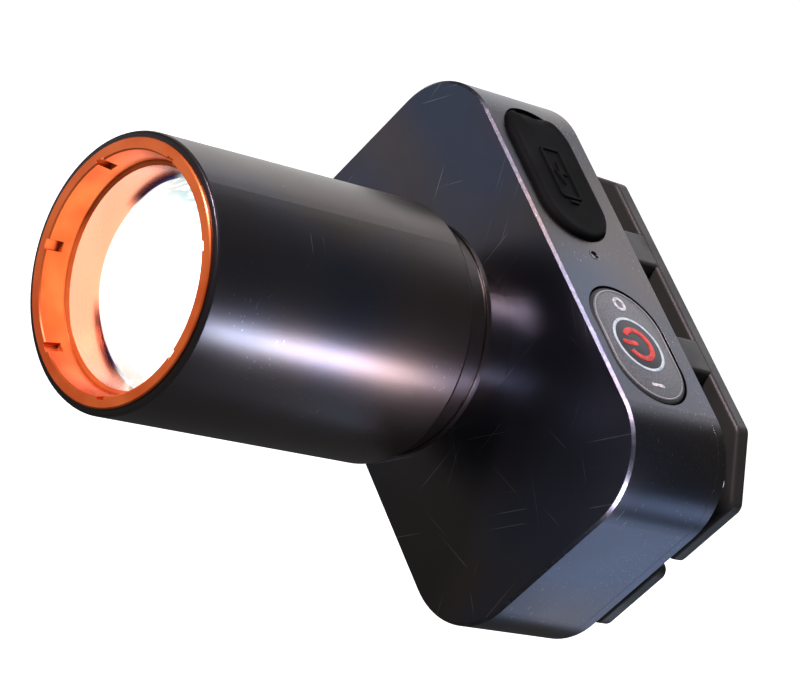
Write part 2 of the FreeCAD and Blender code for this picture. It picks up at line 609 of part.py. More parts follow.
def led_screws():
    screws = []
    for sx in (-1, 1):
        seat = V(sx * LED_SCREW_X, Y_FACE - STEM_FRONT - LED_BOARD_THICKNESS, LAMP_Z)
        shank = rod(SCREW_RADIUS, 4.6, seat, Y_AXIS)
        screws.append(shank.fuse(rod(1.6, 1.0, seat, FORWARD)).removeSplitter())
    return screws


def led_emitter():
    """Square light source with a low dome."""
    front = Y_FACE - STEM_FRONT - LED_BOARD_THICKNESS
    package = box(-2.5, 2.5, front - 0.7, front, LAMP_Z - 2.5, LAMP_Z + 2.5)
    dome = Part.makeSphere(2.6, V(0, front + 0.9, LAMP_Z))
    dome = dome.common(box(-3, 3, front - 3, front - 0.65, LAMP_Z - 3, LAMP_Z + 3))
    return package.fuse(dome).removeSplitter()


def emitter_spacer():
    """White ring that centres the light source."""
    ring = rod(5.8, 0.8, on_axis(STEM_FRONT + LED_BOARD_THICKNESS), FORWARD)
    front = Y_FACE - STEM_FRONT - LED_BOARD_THICKNESS
    return ring.cut(box(-2.7, 2.7, front - 1, front, LAMP_Z - 2.7, LAMP_Z + 2.7))


def lamp_wires():
    """Two leads through the stem, from the control board to the light source's board."""
    start = Y_FACE - STEM_FRONT
    return [rod(WIRE_RADIUS, Y_BOARD_FRONT - start, V(sx * WIRE_X, start, LAMP_Z), Y_AXIS) for sx in (-1, 1)]


# --- focus barrel ------------------------------------------------------------------------------

def barrel():
    """Plain tube with a guide bore at the rear, a wider bore for the clip, and a lens seat."""
    guide_front = BARREL_REAR + GUIDE_LENGTH
    guide_r = COLLAR_RADIUS + GUIDE_CLEARANCE
    seat_rear = LENS_SEAT - LENS_SEAT_THICKNESS
    return turned([
        (BARREL_REAR, guide_r + 0.4), (BARREL_REAR, BARREL_RADIUS - 0.6),
        (BARREL_REAR + 0.18, BARREL_RADIUS - 0.18),
        (BARREL_REAR + 0.6, BARREL_RADIUS), (BARREL_FRONT - 0.4, BARREL_RADIUS),
        (BARREL_FRONT - 0.12, BARREL_RADIUS - 0.12), (BARREL_FRONT, BARREL_RADIUS - 0.4),
        (BARREL_FRONT, BARREL_MOUTH_RADIUS), (LENS_SEAT, BARREL_MOUTH_RADIUS), (LENS_SEAT, LENS_SEAT_RADIUS),
        (seat_rear, LENS_SEAT_RADIUS), (seat_rear, CLIP_BORE_RADIUS), (guide_front, CLIP_BORE_RADIUS),
        (guide_front, guide_r), (BARREL_REAR + 0.4, guide_r)])


def lens_seal():
    return tube(BARREL_MOUTH_RADIUS - 0.1, LENS_SEAT_RADIUS + 0.1, LENS_SEAL_THICKNESS,
                on_axis(LENS_SEAT), FORWARD)


def lens():
    """Plano-convex lens, flat towards the light source."""
    rear = LENS_SEAT + LENS_SEAL_THICKNESS
    edge = rod(LENS_EDGE_RADIUS, LENS_EDGE_THICKNESS, on_axis(rear), FORWARD)
    sphere_r = (LENS_DOME_RADIUS ** 2 + LENS_DOME_HEIGHT ** 2) / (2 * LENS_DOME_HEIGHT)
    apex = rear + LENS_EDGE_THICKNESS + LENS_DOME_HEIGHT
    dome = Part.makeSphere(sphere_r, on_axis(apex - sphere_r))
    cap = rod(LENS_EDGE_RADIUS, LENS_DOME_HEIGHT + 1, on_axis(rear + LENS_EDGE_THICKNESS), FORWARD)
    return edge.fuse(dome.common(cap)).removeSplitter()


def lens_ring():
    """Screwed ring that holds the lens, with a thin flange and open notches for a pin spanner."""
    front = BARREL_FRONT + RING_LIP_RISE
    ledge = BARREL_FRONT - RING_LEDGE_DEPTH
    ring = turned([
        (RING_REAR, RING_THROAT_RADIUS), (RING_REAR, BARREL_MOUTH_RADIUS),
        (BARREL_FRONT, BARREL_MOUTH_RADIUS), (BARREL_FRONT, RING_FLANGE_RADIUS),
        (front - RING_LIP_EASE, RING_FLANGE_RADIUS), (front, RING_FLANGE_RADIUS - RING_LIP_EASE),
        (front, RING_LIP_RADIUS + RING_LIP_EASE), (front - RING_LIP_EASE, RING_LIP_RADIUS),
        (ledge, RING_LEDGE_RADIUS + 0.2), (ledge, RING_LEDGE_RADIUS), (ledge - 0.2, RING_THROAT_RADIUS)])
    for k in range(RING_NOTCHES):
        notch = box(RING_LEDGE_RADIUS - 1, RING_LIP_RADIUS + RING_NOTCH_DEPTH, Y_FACE - front - 1,
                    Y_FACE - front + RING_NOTCH_LENGTH,
                    LAMP_Z - RING_NOTCH_HALF_WIDTH, LAMP_Z + RING_NOTCH_HALF_WIDTH)
        notch.rotate(V(0, 0, LAMP_Z), Y_AXIS, -RING_NOTCH_START - k * 360.0 / RING_NOTCHES)
        ring = ring.cut(notch)
    return ring.removeSplitter()


NODES = {
    "bracket_plate": bracket_plate, "rest_pads": rest_pads, "hinge_pin": hinge_pin,
    "tilt_washers": tilt_washers,
    "housing": housing, "back_cover": back_cover, "cover_screws": cover_screws, "cover_gasket": cover_gasket,
    "button_pad": button_pad, "button_window": button_window, "switch_plunger": switch_plunger,
    "tact_switch": tact_switch, "port_cover": port_cover, "tether_anchor": tether_anchor,
    "light_pipe": light_pipe, "charge_light": charge_light, "circuit_board": circuit_board,
    "board_screws": board_screws, "usb_socket": usb_socket, "battery": battery, "battery_tabs": battery_tabs,
    "stem": stem, "neck_seal": neck_seal, "lock_nut": lock_nut, "slide_seal": slide_seal,
    "stop_clip": stop_clip,
    "led_board": led_board, "led_screws": led_screws, "led_emitter": led_emitter,
    "emitter_spacer": emitter_spacer, "lamp_wires": lamp_wires, "barrel": barrel, "lens_seal": lens_seal,
    "lens": lens, "lens_ring": lens_ring,
}

os.makedirs("parts", exist_ok=True)
for node, make in NODES.items():
    made = make()
    shape = Part.makeCompound(made) if isinstance(made, list) else made
    shape.exportStep("parts/%s.step" % node)
    facts = (node, len(shape.Solids), shape.isValid(), shape.Volume)
    print("%-16s solids %d  valid %s  volume %.1f mm3" % facts)
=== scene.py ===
"""A cap lamp: the look of every piece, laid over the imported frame. Metres, in the frame of the CAD.

The beam leaves along -Y, the button and the charging port are on top (+Z), and the head is behind (+Y).
"""
import math

import bmesh
import bpy
from mathutils import Euler, Matrix, Vector


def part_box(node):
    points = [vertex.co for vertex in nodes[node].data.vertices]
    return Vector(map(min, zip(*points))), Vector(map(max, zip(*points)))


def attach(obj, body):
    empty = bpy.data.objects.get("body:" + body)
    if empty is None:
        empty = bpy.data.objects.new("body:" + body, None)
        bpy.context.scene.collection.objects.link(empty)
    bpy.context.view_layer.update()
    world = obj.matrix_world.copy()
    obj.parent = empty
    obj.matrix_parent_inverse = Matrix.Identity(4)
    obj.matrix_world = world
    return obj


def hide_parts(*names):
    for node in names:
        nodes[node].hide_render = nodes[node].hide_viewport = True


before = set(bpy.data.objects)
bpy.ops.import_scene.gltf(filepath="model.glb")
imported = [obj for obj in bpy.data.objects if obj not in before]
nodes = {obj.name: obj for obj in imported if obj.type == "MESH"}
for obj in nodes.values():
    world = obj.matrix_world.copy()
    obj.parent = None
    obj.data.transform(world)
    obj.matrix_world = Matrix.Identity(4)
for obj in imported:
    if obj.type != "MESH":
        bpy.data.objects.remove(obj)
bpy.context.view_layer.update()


# ---- Camera ----
# It looks down on the lamp from the front and the button end, and is rolled over to the left,
# so that the beam points left and the bracket lies to the right.
AIM = Vector((0.00694, -0.04408, 0.00683))
AZIMUTH = 37.302
ELEVATION = 29.966
ROLL = 45.694
DISTANCE = 0.370
LENS = 142.09
NEAREST = 0.01
FARTHEST = 20

camera_data = bpy.data.cameras.new("camera")
camera_data.lens = LENS
camera_data.clip_start = NEAREST
camera_data.clip_end = FARTHEST
camera = bpy.data.objects.new("camera", camera_data)
turn = Euler((math.radians(90 - ELEVATION), 0, math.radians(AZIMUTH))).to_matrix()
back = turn @ Vector((0, 0, 1))
camera.location = AIM + DISTANCE * back
camera.rotation_euler = (turn @ Matrix.Rotation(math.radians(ROLL), 3, "Z")).to_euler()
bpy.context.scene.collection.objects.link(camera)
bpy.context.scene.camera = camera
bpy.context.scene.view_settings.view_transform = "Standard"


# ---- Floor and room ----
# A plain white floor well below the lamp, and a white room, which lights it softly and shows only dimly in
# the dark metal. The floor neither lights it nor shows in it; the metal's highlights come from the next
# section's lamps.
FLOOR_Z = -0.45
FLOOR_HALF = 6.0
FLOOR_WHITE = (0.85, 0.85, 0.85, 1)
FLOOR_GLOW = 0.9
ROOM_WHITE = (1.0, 1.0, 1.0, 1)
ROOM_SEEN = 1.0
ROOM_FILL = 0.28
ROOM_MIRRORED = 0.07


class Value:
    """A number that varies over a surface. Arithmetic on it adds Math nodes to its finish."""

    def __init__(self, finish, socket):
        self.finish = finish
        self.socket = socket

    def maths(self, operation, *others):
        inputs = dict(enumerate((self, *others)))
        return self.finish.node("ShaderNodeMath", {"operation": operation}, inputs)

    def __add__(self, other):
        return self.maths("ADD", other)

    def __sub__(self, other):
        return self.maths("SUBTRACT", other)

    def __rsub__(self, other):
        return self.maths("MULTIPLY_ADD", -1.0, other)

    def __mul__(self, other):
        return self.maths("MULTIPLY", other)

    def __truediv__(self, other):
        return self.maths("DIVIDE", other)

    def __abs__(self):
        return self.maths("ABSOLUTE")

    __radd__ = __add__
    __rmul__ = __mul__

    def rises(self, low, high):
        """0 below low and 1 above high, with a soft step between; low may be above high."""
        settings = {"interpolation_type": "SMOOTHSTEP"}
        return self.finish.node("ShaderNodeMapRange", settings, {0: self, 1: low, 2: high})


class Finish:
    """A material as it is mixed: one method adds any node, and the rest are named for what they give."""

    def __init__(self, name, **fixed):
        self.material = bpy.data.materials.new(name)
        self.material.use_nodes = True
        self.tree = self.material.node_tree
        self.shader = self.tree.nodes["Principled BSDF"]
        for socket, value in fixed.items():
            self.shader.inputs[socket.replace("_", " ")].default_value = value

    def node(self, kind, settings=None, inputs=None, output=0):
        """Adds a node with its settings and the values or links of its sockets; gives one output."""
        made = self.tree.nodes.new(kind)
        for name, value in (settings or {}).items():
            setattr(made, name, value)
        for name, value in (inputs or {}).items():
            if isinstance(value, Value):
                self.tree.links.new(value.socket, made.inputs[name])
            else:
                made.inputs[name].default_value = value
        return Value(self, made.outputs[output])

    def place(self):
        return self.node("ShaderNodeTexCoord", output="Object")

    def turned_to(self, centre=(0, 0, 0), angles=(0, 0, 0), scale=(1, 1, 1)):
        """Object coordinates moved, turned and stretched."""
        return self.node("ShaderNodeMapping", {"vector_type": "TEXTURE"}, {
            "Vector": self.place(), "Location": centre, "Rotation": angles, "Scale": scale})

    def noise(self, size, detail=2.0, rough=0.5, at=None, swirl=0.0):
        """Soft cloudy variation from 0 to 1 whose blotches are about size metres across."""
        return self.node("ShaderNodeTexNoise", None, {
            "Vector": at or self.place(), "Scale": 1 / size, "Detail": detail,
            "Roughness": rough, "Distortion": swirl})

    def blend(self, factor, first, second):
        """Mixes two colours; factor, and either colour, may vary."""
        return self.node("ShaderNodeMix", {"data_type": "RGBA"}, {0: factor, 6: first, 7: second}, output=2)

    def split(self, vector):
        """X, Y and Z of a point or a direction."""
        return [self.node("ShaderNodeSeparateXYZ", None, {0: vector}, output=k) for k in range(3)]

    def facing(self):
        """The surface's own direction, as its X, Y and Z."""
        return self.split(self.node("ShaderNodeTexCoord", output="Normal"))

    def edges(self, radius):
        """The direction of the surface with its sharp edges rounded by radius."""
        return self.node("ShaderNodeBevel", {"samples": 4}, {"Radius": radius})

    def grain(self, height, depth, normal=None):
        """Fine relief, depth metres high where height is 1."""
        inputs = {"Height": height, "Distance": depth, "Strength": 1.0}
        if normal:
            inputs["Normal"] = normal
        return self.node("ShaderNodeBump", None, inputs)

    def feed(self, **sockets):
        """Links what varies to the shader's sockets, and gives the finished material."""
        for name, value in sockets.items():
            target = self.shader.inputs[name.replace("_", " ")]
            if isinstance(value, Value):
                self.tree.links.new(value.socket, target)
            else:
                target.default_value = value
        return self.material


def add_piece(name, mesh, material, body=None, smooth=35):
    """Turns a finished bmesh into an object; edges sharper than smooth degrees stay crisp."""
    data = bpy.data.meshes.new(name)
    mesh.to_mesh(data)
    mesh.free()
    data.materials.append(material)
    data.shade_smooth()
    data.set_sharp_from_angle(angle=math.radians(smooth))
    made = bpy.data.objects.new(name, data)
    bpy.context.scene.collection.objects.link(made)
    if body:
        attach(made, body)
    return made


floor_mesh = bmesh.new()
bmesh.ops.create_grid(floor_mesh, x_segments=1, y_segments=1, size=FLOOR_HALF,
                      matrix=Matrix.Translation((0, 0, FLOOR_Z)))
floor_paint = Finish("floor_paint", Roughness=1.0)
floor = add_piece("floor", floor_mesh, floor_paint.feed(
    Base_Color=FLOOR_WHITE, Emission_Color=ROOM_WHITE, Emission_Strength=FLOOR_GLOW))
floor.visible_glossy = False
floor.visible_diffuse = False

world = bpy.data.worlds.new("room")
bpy.context.scene.world = world
world.use_nodes = True
sky = world.node_tree
sky.nodes.clear()
path = sky.nodes.new("ShaderNodeLightPath")
strength = sky.nodes.new("ShaderNodeMix")
mirrored = sky.nodes.new("ShaderNodeMix")
backdrop = sky.nodes.new("ShaderNodeBackground")
sky_out = sky.nodes.new("ShaderNodeOutputWorld")
mirrored.inputs[2].default_value = ROOM_FILL
mirrored.inputs[3].default_value = ROOM_MIRRORED
strength.inputs[3].default_value = ROOM_SEEN
backdrop.inputs["Color"].default_value = ROOM_WHITE
sky.links.new(path.outputs["Is Glossy Ray"], mirrored.inputs[0])
sky.links.new(path.outputs["Is Camera Ray"], strength.inputs[0])
sky.links.new(mirrored.outputs[0], strength.inputs[2])
sky.links.new(strength.outputs[0], backdrop.inputs["Strength"])
sky.links.new(backdrop.outputs[0], sky_out.inputs["Surface"])


# ---- Lamps of the studio ----
# Soft boxes, each set where one face of the object mirrors it into the camera, and sized so that
# the next face misses it. Brightness is that of the box's own surface.
def soft_box(name, towards, aim, distance, width, height, brightness, colour=(1, 1, 1)):
    """A lit rectangle that faces the point aim; from there it stands this way, at this distance."""
    light = bpy.data.lights.new(name, "AREA")
    light.shape = "RECTANGLE"
    light.size = width
    light.size_y = height
    light.energy = brightness * math.pi * width * height
    light.color = colour
    holder = bpy.data.objects.new(name, light)
    direction = Vector(towards).normalized()
    holder.location = Vector(aim) + distance * direction
    holder.rotation_euler = direction.to_track_quat("Z", "Y").to_matrix().to_euler()
    holder.visible_camera = False
    bpy.context.scene.collection.objects.link(holder)


PINK = (1.0, 0.80, 0.87)
COOL = (0.80, 0.84, 1.0)
BLUE = (0.62, 0.74, 1.0)
soft_box("wall_behind", (-0.72, 0.69, 0.0), (0, -0.04, 0), 0.80, 0.75, 0.95, 1.0)
soft_box("left_wall", (-0.525, -0.689, -0.50), (-0.034, -0.028, 0.020), 0.15, 0.06, 0.06, 0.60, COOL)
soft_box("key_box", (-0.31, -0.63, 0.70), (0, -0.028, 0.012), 0.50, 0.08, 0.08, 150.0, PINK)
soft_box("top_box", (-0.525, 0.689, 0.50), (0.015, -0.008, 0.022), 0.10, 0.05, 0.045, 0.72, COOL)
soft_box("side_box", (0.525, 0.689, -0.50), (0.033, 0.004, -0.006), 0.10, 0.045, 0.05, 1.45, BLUE)
soft_box("corner_box", (0.72, 0.69, -0.05), (0.031, 0.004, 0.012), 0.10, 0.030, 0.028, 2.2, BLUE)
soft_box("band_rear", (0.97, 0, 0.24), (0.0142, -0.036, 0.010), 0.025, 0.018, 0.0065, 21.0, PINK)
soft_box("band_front", (0.97, 0, 0.24), (0.0142, -0.052, 0.010), 0.025, 0.014, 0.0060, 21.0, BLUE)


# ---- Bracket ----
# A strap plate moulded in black glass-filled nylon, with two hinge ears and two rest lugs. The mould
# was spark-eroded, which leaves a fine grain, and handling has polished it in patches.
MM = 0.001
NYLON_DARK = (0.020, 0.020, 0.019)
NYLON_LIGHT = (0.034, 0.034, 0.031)
NYLON_RUBBED = (0.060, 0.060, 0.055, 1)


def wear(finish, *names):
    """Gives a material to CAD nodes, by their names."""
    for name in names:
        slots = nodes[name].data.materials
        slots.clear()
        slots.append(finish)


def cloudy(finish, dark, light, size):
    """A colour that drifts between two shades in blotches about size across."""
    return finish.blend(finish.noise(size).rises(0.25, 0.75), (*dark, 1), (*light, 1))


def moulded(name, dark, light, roughness, grain_size=0.12 * MM, grain_depth=0.012 * MM, **fixed):
    """Moulded plastic or rubber: two close shades, an uneven sheen and a fine grain."""
    finish = Finish(name, **fixed)
    grit = finish.noise(grain_size)
    rough = finish.noise(4 * MM, detail=3.0) * 0.16 + (roughness - 0.08)
    return finish.feed(Base_Color=cloudy(finish, dark, light, 6 * MM), Roughness=rough,
                       Normal=finish.grain(grit, grain_depth, finish.edges(0.15 * MM)))


bracket_plastic = Finish("bracket_plastic")
grit = bracket_plastic.noise(0.14 * MM)
handled = bracket_plastic.noise(7 * MM, detail=3.0).rises(0.35, 0.7)
matt = cloudy(bracket_plastic, NYLON_DARK, NYLON_LIGHT, 9 * MM)
wear(bracket_plastic.feed(
    Base_Color=bracket_plastic.blend(handled * 0.35, matt, NYLON_RUBBED),
    Roughness=0.50 - handled * 0.12,
    Normal=bracket_plastic.grain(grit, 0.014 * MM, bracket_plastic.edges(0.3 * MM))), "bracket_plate")


# ---- Tilt hinge and rest pads ----
# A ground steel pin is pressed into the bracket's ears, with a friction washer at each side. The pads
# are soft rubber, glued to the lugs.
DULLED = 0.72


def bright_metal(name, colour, roughness, grain_size=0.25 * MM, stretch=(1, 1, 1), depth=0.004 * MM):
    """Bare or plated metal with fine tool marks, stretched along the way it was worked."""
    finish = Finish(name, Metallic=1.0)
    marks = finish.noise(grain_size, detail=3.0, at=finish.turned_to(scale=stretch))
    dull = finish.noise(5 * MM)
    shade = tuple(DULLED * part for part in colour)
    return finish.feed(Base_Color=finish.blend(dull.rises(0.3, 0.8), (*colour, 1), (*shade, 1)),
                       Roughness=marks * 0.16 + dull * 0.08 + (roughness - 0.12),
                       Normal=finish.grain(marks, depth, finish.edges(0.1 * MM)))


wear(bright_metal("ground_steel", (0.56, 0.56, 0.57), 0.30, stretch=(12, 1, 1)),
     "hinge_pin", "tilt_washers")
black_rubber = moulded("black_rubber", (0.006, 0.006, 0.006), (0.014, 0.014, 0.015), 0.62,
                       grain_size=0.22 * MM, grain_depth=0.02 * MM)
wear(black_rubber, "rest_pads")


# ---- Housing and back cover ----
# Two machined aluminium shells, blasted and anodised dark gunmetal. Their outer edges are chamfered
# after anodising, so the chamfers shine, and use has left long hairline scratches on the faces.
GUNMETAL_WARM = (0.152, 0.131, 0.126, 1)
GUNMETAL_BLUE = (0.110, 0.127, 0.172, 1)
BARE_METAL = (0.52, 0.51, 0.50, 1)
EDGE_SHINE = 0.15
SCRATCH_SHINE = 0.8
SCRATCH_WAYS = (18, 52, 81, 118, 163)
SCRATCH_CELL = 0.44 * MM
SCRATCH_STRETCH = 110
SCRATCH_APART = 1 * MM


def middle(node):
    """The middle of a CAD node's box."""
    low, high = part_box(node)
    return (Vector(low) + Vector(high)) / 2


LAMP_AXIS_Z = middle("barrel").z


def from_axis(finish):
    """X, Y and Z of a point as seen from the lamp's axis, and its distance from that axis."""
    x, y, z = finish.split(finish.turned_to(centre=(0, 0, LAMP_AXIS_Z)))
    return x, y, z, (x * x + z * z).maths("SQRT")


def turning(finish, pitch):
    """Lathe marks: a noise that only changes along the lamp's axis and away from it."""
    _, along, _, radius = from_axis(finish)
    rings = finish.node("ShaderNodeCombineXYZ", None, {0: radius, 1: along})
    return finish.noise(pitch, at=rings)


def scratches(finish, angle, amount):
    """Straight fine scratches that run one way in the XZ plane: needle-shaped cells, in patches."""
    shift = SCRATCH_APART * angle
    at = finish.turned_to(centre=(shift, 0, 0), angles=(0, math.radians(angle), 0),
                          scale=(SCRATCH_STRETCH, 1, 1))
    needle = finish.node("ShaderNodeTexVoronoi", {"feature": "F1"}, {
        "Vector": at, "Scale": 1 / SCRATCH_CELL})
    patches = finish.noise(9 * MM, detail=1.0, at=finish.turned_to(centre=(0, shift, 0)))
    return (1 - needle.rises(0.05, 0.13)) * patches.rises(0.70 - amount * 0.4, 0.80 - amount * 0.4)


def anodised(name, blue=0.5, roughness=0.33, scratched=0.5, bright_edges=False, lathe_marks=0.0):
    """Dark anodised aluminium whose tint drifts from warm to blue; blue, scratched: 0 to 1."""
    finish = Finish(name, Metallic=1.0)
    drift = finish.noise(22 * MM, detail=1.0)
    speck = finish.noise(0.10 * MM, detail=1.0)
    scratch = sum(scratches(finish, angle, scratched) for angle in SCRATCH_WAYS).maths("MINIMUM", 1.0)
    colour = finish.blend((drift + (blue - 0.5)).rises(0.35, 0.65), GUNMETAL_WARM, GUNMETAL_BLUE)
    colour = finish.blend(scratch * SCRATCH_SHINE, colour, BARE_METAL)
    if bright_edges:
        slope = abs(finish.facing()[1])
        edge = slope.rises(0.45, 0.55) * (1 - slope.rises(0.86, 0.93))
        nick = finish.noise(0.9 * MM, detail=3.0).rises(0.40, 0.70)
        colour = finish.blend(edge * nick * EDGE_SHINE, colour, BARE_METAL)
    height = speck + turning(finish, 0.25 * MM) * lathe_marks if lathe_marks else speck
    return finish.feed(
        Base_Color=colour,
        Roughness=finish.noise(9 * MM, detail=3.0) * 0.10 + speck * 0.06 + (roughness - 0.08),
        Normal=finish.grain(height, 0.006 * MM, finish.edges(0.1 * MM)))


wear(anodised("anodised_shell", bright_edges=True), "housing", "back_cover")


# ---- Cover screws and gasket ----
# Four countersunk screws in blackened steel go through the back cover into the housing's bosses, and
# squeeze a flat rubber gasket.
wear(bright_metal("blackened_steel", (0.10, 0.10, 0.105), 0.38), "cover_screws", "board_screws")
wear(black_rubber, "cover_gasket")


# ---- Circuit board ----
# A green board on two posts behind the control face. It carries the switch, the charging socket and
# the charge light, whose smoked rod reaches the face. Copper tracks show through the lacquer.
TRACK_LENGTH = 4 * MM
TRACK_WIDTH = 0.06
LACQUER_GREEN = (0.006, 0.10, 0.035, 1)
TRACK_GREEN = (0.04, 0.20, 0.07, 1)

lacquer = Finish("board_lacquer", Coat_Weight=0.6, Coat_Roughness=0.15)
tracks = lacquer.node("ShaderNodeTexBrick", {"offset": 0.5}, {
    "Vector": lacquer.turned_to(angles=(math.radians(90), 0, 0)), "Scale": 1 / TRACK_LENGTH,
    "Mortar Size": TRACK_WIDTH}, output=1)
wear(lacquer.feed(
    Base_Color=lacquer.blend(tracks, LACQUER_GREEN, TRACK_GREEN),
    Roughness=lacquer.noise(1.5 * MM) * 0.2 + 0.25,
    Normal=lacquer.grain(tracks, 0.02 * MM)), "circuit_board")
wear(moulded("switch_plastic", (0.010, 0.010, 0.011), (0.022, 0.022, 0.024), 0.45), "tact_switch")
wear(moulded("plunger_plastic", (0.62, 0.61, 0.58), (0.74, 0.73, 0.70), 0.45), "switch_plunger")
wear(bright_metal("nickel_plate", (0.62, 0.60, 0.56), 0.26), "usb_socket", "battery_tabs")
wear(moulded("charge_light_plastic", (0.50, 0.52, 0.50), (0.64, 0.66, 0.64), 0.30, Coat_Weight=0.5),
     "charge_light")
wear(moulded("smoked_rod", (0.010, 0.011, 0.012), (0.025, 0.027, 0.030), 0.12, grain_depth=0.002 * MM,
             Coat_Weight=1.0), "light_pipe")


# ---- Battery ----
# A flat lithium pouch cell with two nickel tabs stands behind the board. Its aluminium foil is creased
# where it was pressed and folded shut.
foil = Finish("pouch_foil", Metallic=0.9)
creases = foil.noise(5 * MM, detail=4.0, rough=0.6, swirl=0.8)
wear(foil.feed(Base_Color=cloudy(foil, (0.46, 0.47, 0.49), (0.66, 0.67, 0.69), 9 * MM),
               Roughness=creases * 0.3 + 0.22, Normal=foil.grain(creases, 0.25 * MM)), "battery")


# ---- Button ----
# A rubber pad under a speckled polyester film, with a smoked disc over its light. The film's pressed
# edge, the pale ring, the red power sign and the two small marks stand a hair above it.
PAD_EAR_REACH = 1.0 * MM
FILM_INSET = 0.45 * MM
FILM_RISE = 0.10 * MM
FILM_EASE = 0.06 * MM
PRINT_RISE = 0.05 * MM
PRINT_EASE = 0.015 * MM
BORDER_INSET = 0.12 * MM
BORDER_WIDTH = 0.20 * MM
DISC_RADIUS = 3.6 * MM
RING_INNER = 3.65 * MM
RING_OUTER = 4.05 * MM
SIGN_INNER = 1.75 * MM
SIGN_OUTER = 2.55 * MM
SIGN_TOWARDS = math.radians(-90)
SIGN_GAP = math.radians(64)
SIGN_BAR_LENGTH = 2.7 * MM
SIGN_BAR_WIDTH = 0.75 * MM
SIGN_BAR_REACH = 1.45 * MM
MARK_REACH = 6.2 * MM
MARK_OFF_INNER = 0.60 * MM
MARK_OFF_OUTER = 1.05 * MM
MARK_ON_LENGTH = 2.3 * MM
MARK_ON_WIDTH = 0.50 * MM
FULL_TURN = 2 * math.pi
TINY = 0.001 * MM


def up(height):
    """A step of this height away from the control face."""
    return Vector((0, 0, height))


def raised(mesh, height, ease, at=(0, 0, 0), steps=2):
    """Pulls a flat outline up into a solid, eases its far edge, and puts it in its place."""
    pulled = bmesh.ops.extrude_face_region(mesh, geom=list(mesh.faces), use_keep_orig=True)["geom"]
    verts = [item for item in pulled if isinstance(item, bmesh.types.BMVert)]
    bmesh.ops.translate(mesh, verts=verts, vec=up(height))
    bmesh.ops.remove_doubles(mesh, verts=mesh.verts, dist=TINY / 2)
    bmesh.ops.recalc_face_normals(mesh, faces=mesh.faces)
    rim = [edge for edge in mesh.edges
           if all(abs(vert.co.z - height) < TINY for vert in edge.verts)
           and len(edge.link_faces) == 2 and edge.calc_face_angle() > 1.0]
    bmesh.ops.bevel(mesh, geom=rim, offset=ease, offset_type="OFFSET", segments=steps, profile=0.5,
                    affect="EDGES", material=-1, clamp_overlap=True)
    bmesh.ops.translate(mesh, verts=mesh.verts, vec=at)
    return mesh


def oval_outline(half_length, half_width, segments=96):
    """A flat oval with straight sides along X: a circle whose two halves are moved apart."""
    mesh = bmesh.new()
    half_step = Matrix.Rotation(math.pi / segments, 4, "Z")
    bmesh.ops.create_circle(mesh, cap_ends=True, segments=segments, radius=half_width, matrix=half_step)
    for side in (-1, 1):
        half = [vert for vert in mesh.verts if vert.co.x * side > 0]
        bmesh.ops.translate(mesh, verts=half, vec=(side * (half_length - half_width), 0, 0))
    return mesh


def hollowed(mesh, width):
    """Cuts a flat outline down to a band of this width along its edge."""
    bmesh.ops.inset_region(mesh, faces=list(mesh.faces), thickness=width, use_even_offset=True,
                           use_boundary=True)
    inner = max(mesh.faces, key=lambda face: len(face.verts))
    bmesh.ops.delete(mesh, geom=[inner], context="FACES_ONLY")
    return mesh


def arc_band(inner, outer, start=0.0, turn=FULL_TURN, steps=96):
    """A flat ring, or a part of one from start through turn, both in radians from +X."""
    mesh = bmesh.new()
    arm = Matrix.Rotation(start, 4, "Z")
    ends = [mesh.verts.new(arm @ Vector((radius, 0, 0))) for radius in (inner, outer)]
    edge = mesh.edges.new(ends)
    bmesh.ops.spin(mesh, geom=[edge, *ends], cent=(0, 0, 0), axis=(0, 0, 1), angle=turn, steps=steps,
                   use_merge=turn >= FULL_TURN)
    return mesh


def bar(length, width):
    """A flat bar along Y, with round ends."""
    mesh = oval_outline(length / 2, width / 2, segments=24)
    bmesh.ops.rotate(mesh, verts=mesh.verts, cent=(0, 0, 0), matrix=Matrix.Rotation(math.pi / 2, 3, "Z"))
    return mesh


def ink(name, worn_colour, fresh_colour, patch, worn_below=0.2, fresh_above=0.6, roughness=0.45):
    """Printed ink, rubbed thin in patches."""
    finish = Finish(name)
    left = finish.noise(patch, detail=3.0).rises(worn_below, fresh_above)
    return finish.feed(Base_Color=finish.blend(left, worn_colour, fresh_colour), Roughness=roughness)


pad_low, pad_high = (Vector(corner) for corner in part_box("button_pad"))
BUTTON_TOP = Vector((middle("button_window").x, middle("button_window").y, pad_high.z))
FILM_TOP = BUTTON_TOP + up(FILM_RISE)
DISC_TOP = FILM_TOP + up(PRINT_RISE / 2)
film_half_length = (pad_high.x - pad_low.x) / 2 - PAD_EAR_REACH - FILM_INSET
film_half_width = (pad_high.y - pad_low.y) / 2 - FILM_INSET
wear(moulded("button_rubber", (0.016, 0.017, 0.019), (0.030, 0.032, 0.036), 0.50), "button_pad")

film = Finish("button_film", Coat_Weight=0.25, Coat_Roughness=0.3)
speckle = film.noise(0.22 * MM, detail=3.0, rough=0.7).rises(0.35, 0.75)
film_finish = film.feed(
    Base_Color=film.blend(speckle, (0.085, 0.098, 0.108, 1), (0.230, 0.250, 0.270, 1)),
    Roughness=speckle * 0.2 + 0.42,
    Normal=film.grain(speckle, 0.02 * MM))
film_mesh = raised(oval_outline(film_half_length, film_half_width), FILM_RISE, FILM_EASE, BUTTON_TOP)
button_film = add_piece("button_film", film_mesh, film_finish, "button", smooth=50)
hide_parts("button_window")

border_ink = moulded("border_ink", (0.26, 0.28, 0.30), (0.42, 0.44, 0.46), 0.45, grain_size=0.3 * MM)
border_outline = oval_outline(film_half_length - BORDER_INSET, film_half_width - BORDER_INSET)
border_mesh = raised(hollowed(border_outline, BORDER_WIDTH), PRINT_RISE, 0.02 * MM, FILM_TOP)
add_piece("button_border", border_mesh, border_ink, "button")

